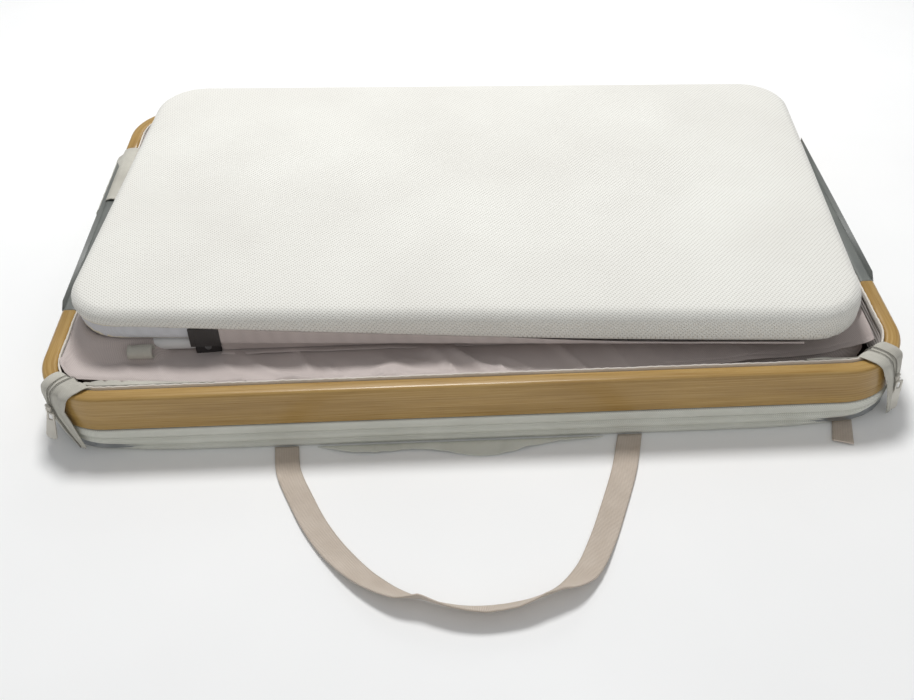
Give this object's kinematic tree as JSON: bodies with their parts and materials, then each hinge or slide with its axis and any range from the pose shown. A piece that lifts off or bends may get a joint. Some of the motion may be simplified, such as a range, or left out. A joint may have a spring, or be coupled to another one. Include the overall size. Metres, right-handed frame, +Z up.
{
  "type": "folding bedside cot",
  "caption": "Portable bedside cot folded flat: wood-grain top rail on scissor arms over a fabric-covered base, with a white mattress laid askew on top and a webbing carry handle in front",
  "frame": {"origin": "middle of the base's underside, on the floor, below the centre of the rail ring", "axes": "+X along the cot's length, +Y towards its rear, away from the carry handle, +Z up"},
  "size_m": [0.9144, 0.8421, 0.1268],
  "materials": {
    "wood_grain": "oak wood-grain film on a pressed steel channel",
    "hub_plastic": "dark grey moulded plastic",
    "sage_fabric": "sage-white plain woven polyester",
    "liner_fabric": "pink-grey woven nylon",
    "mattress_mesh": "white knitted spacer mesh",
    "foam": "polyurethane foam",
    "webbing": "greige ribbed webbing",
    "white_lacquer": "white powder-coated steel",
    "black_plastic": "black moulded plastic",
    "bare_steel": "zinc-plated steel",
    "puller_plastic": "grey-beige moulded plastic",
    "fibre_board": "pressed fibre board"
  },
  "bodies": {
    "base": {"base_cover": "sage_fabric", "base_hoop": "bare_steel", "base_board": "fibre_board", "folded_liner": "liner_fabric", "platform_left_tube": "white_lacquer", "platform_right_tube": "white_lacquer", "platform_front_tube": "white_lacquer", "platform_rear_tube": "white_lacquer", "coupler_front_left": "black_plastic", "coupler_front_left_rivet": "bare_steel", "coupler_front_right": "black_plastic", "coupler_front_right_rivet": "bare_steel", "coupler_rear_left": "black_plastic", "coupler_rear_left_rivet": "bare_steel", "coupler_rear_right": "black_plastic", "coupler_rear_right_rivet": "bare_steel", "platform_sling": "liner_fabric", "loop_tab": "sage_fabric", "front_arm_bracket": "bare_steel", "front_arm_track": "bare_steel", "rear_arm_bracket": "bare_steel", "rear_arm_track": "bare_steel", "front_hem": "sage_fabric", "web_stub": "webbing"},
    "top_rail": {"front_rail": "wood_grain", "rear_rail": "wood_grain", "left_hub": "hub_plastic", "right_hub": "hub_plastic", "left_hub_screw_front": "bare_steel", "left_hub_screw_rear": "bare_steel", "right_hub_screw_front": "bare_steel", "right_hub_screw_rear": "bare_steel", "inner_trim": "liner_fabric", "side_wall": "sage_fabric", "zip_strip_front_left": "sage_fabric", "zip_strip_front_right": "sage_fabric", "zip_strip_rear_left": "sage_fabric"},
    "front_arm_one": {"front_outer_arm": "white_lacquer", "front_arm_rivet": "bare_steel"},
    "front_arm_two": {"front_inner_arm": "white_lacquer"},
    "rear_arm_one": {"rear_outer_arm": "white_lacquer", "rear_arm_rivet": "bare_steel"},
    "rear_arm_two": {"rear_inner_arm": "white_lacquer"},
    "mattress": {"mattress_core": "foam", "mattress_top_cover": "mattress_mesh", "mattress_bottom_cover": "mattress_mesh"},
    "handle": {"carry_handle": "webbing"},
    "slider_left": {"zip_slider_left": "puller_plastic"},
    "puller_left": {"zip_puller_left": "puller_plastic"},
    "slider_right": {"zip_slider_right": "puller_plastic"},
    "puller_right": {"zip_puller_right": "puller_plastic"}
  },
  "joints": [
    {"name": "rail_raise", "type": "slide", "parent": "base", "child": "top_rail", "axis": [0, 0, 1], "range_m": [0, 0.3]},
    {"name": "front_arm_swing", "type": "hinge", "parent": "base", "child": "front_arm_one", "pos_m": [-0.225, -0.29862, 0.0445], "axis": [0, -1, 0], "range_deg": [0, 42]},
    {"name": "front_arm_cross", "type": "hinge", "parent": "front_arm_one", "child": "front_arm_two", "pos_m": [0, -0.29478, 0.0445], "axis": [0, 1, 0], "range_deg": [0, 84]},
    {"name": "rear_arm_swing", "type": "hinge", "parent": "base", "child": "rear_arm_one", "pos_m": [-0.225, 0.29862, 0.0445], "axis": [0, -1, 0], "range_deg": [0, 42]},
    {"name": "rear_arm_cross", "type": "hinge", "parent": "rear_arm_one", "child": "rear_arm_two", "pos_m": [0, 0.29478, 0.0445], "axis": [0, 1, 0], "range_deg": [0, 84]},
    {"name": "mattress_lift", "type": "slide", "parent": "base", "child": "mattress", "axis": [0, 0, 1], "range_m": [0, 0.25]},
    {"name": "handle_lift", "type": "hinge", "parent": "base", "child": "handle", "pos_m": [-0.017, -0.3067, 0.0014], "axis": [-1, 0, 0], "range_deg": [0, 85]},
    {"name": "zip_slider_left_slide", "type": "slide", "parent": "top_rail", "child": "slider_left", "axis": [0, 0, 1], "range_m": [0, 0.018]},
    {"name": "zip_puller_left_swing", "type": "hinge", "parent": "slider_left", "child": "puller_left", "pos_m": [-0.4336, -0.29054, 0.047], "axis": [-0.7193, 0.6947, 0], "range_deg": [0, 120]},
    {"name": "zip_slider_right_slide", "type": "slide", "parent": "top_rail", "child": "slider_right", "axis": [0, 0, 1], "range_m": [0, 0.018]},
    {"name": "zip_puller_right_swing", "type": "hinge", "parent": "slider_right", "child": "puller_right", "pos_m": [0.43458, -0.28958, 0.045], "axis": [-0.7071, -0.7071, 0], "range_deg": [0, 120]}
  ],
  "couplings": [
    {"joint": "front_arm_swing", "follows": "rail_raise", "rad_per_m": 2.4324},
    {"joint": "front_arm_cross", "follows": "rail_raise", "rad_per_m": 4.8649},
    {"joint": "rear_arm_swing", "follows": "rail_raise", "rad_per_m": 2.4324},
    {"joint": "rear_arm_cross", "follows": "rail_raise", "rad_per_m": 4.8649}
  ]
}
